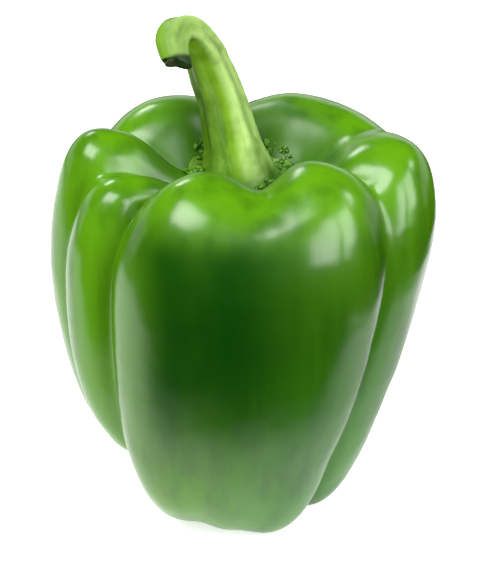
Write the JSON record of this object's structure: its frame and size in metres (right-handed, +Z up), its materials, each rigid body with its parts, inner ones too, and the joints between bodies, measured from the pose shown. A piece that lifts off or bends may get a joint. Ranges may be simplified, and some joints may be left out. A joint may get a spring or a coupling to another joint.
{
  "type": "bell pepper",
  "caption": "Green bell pepper: a blocky, lobed fruit that stands upright on the feet of its lobes, with a ribbed, hooked stem and its calyx.",
  "frame": {"origin": "on the surface that the fruit stands on, under the middle of its outline", "axes": "+Z up along the fruit's axis, from the blossom end to the stem; the front lobes face -Y, and the stem hooks over towards -X"},
  "size_m": [0.0868, 0.0832, 0.1162],
  "materials": {
    "pepper_skin": "waxy, glossy",
    "stem_green": "satin, finely ribbed"
  },
  "bodies": {
    "root": {"fruit": "pepper_skin", "stem": "stem_green"}
  },
  "joints": []
}
